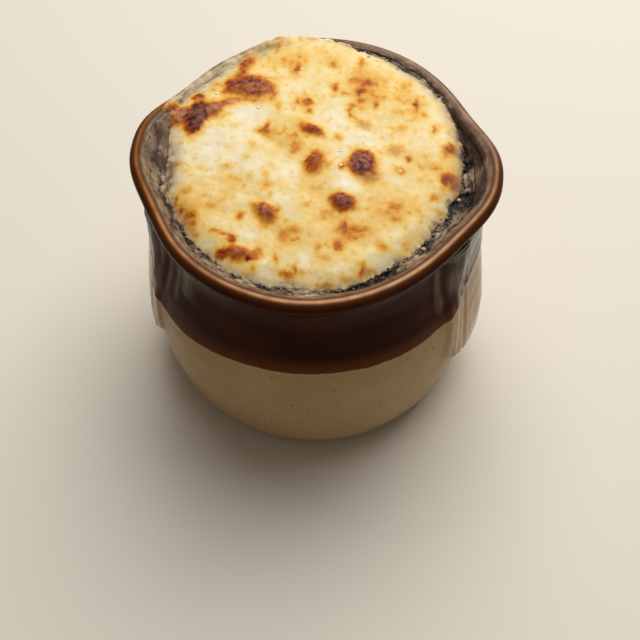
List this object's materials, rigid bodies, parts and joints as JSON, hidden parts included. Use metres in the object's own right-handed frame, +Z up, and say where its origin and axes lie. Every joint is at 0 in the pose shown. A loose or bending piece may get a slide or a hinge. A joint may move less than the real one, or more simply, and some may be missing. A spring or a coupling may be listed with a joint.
{
  "type": "french onion soup",
  "caption": "Two-tone stoneware crock with eared rim and ridged lugs, filled with onion soup under a browned melted cheese crust.",
  "frame": {"origin": "middle of the crock's foot, on the surface it stands on", "axes": "+Z up, the two ears of the rim on +X and -X, the side where the cheese hangs over the lip on +Y"},
  "size_m": [0.1058, 0.1018, 0.0873],
  "materials": {
    "glazed_stoneware": "glossy dark brown glaze over the rim and shoulder, cream glaze below, lighter where it breaks over edges",
    "broth": "dark glistening onion broth, baked black and bubbly where it meets the wall",
    "melted_cheese": "oily cream-coloured melted cheese with toasted orange and red-brown blisters"
  },
  "bodies": {
    "root": {"crock": "glazed_stoneware", "soup": "broth", "cheese_crust": "melted_cheese"}
  },
  "joints": []
}
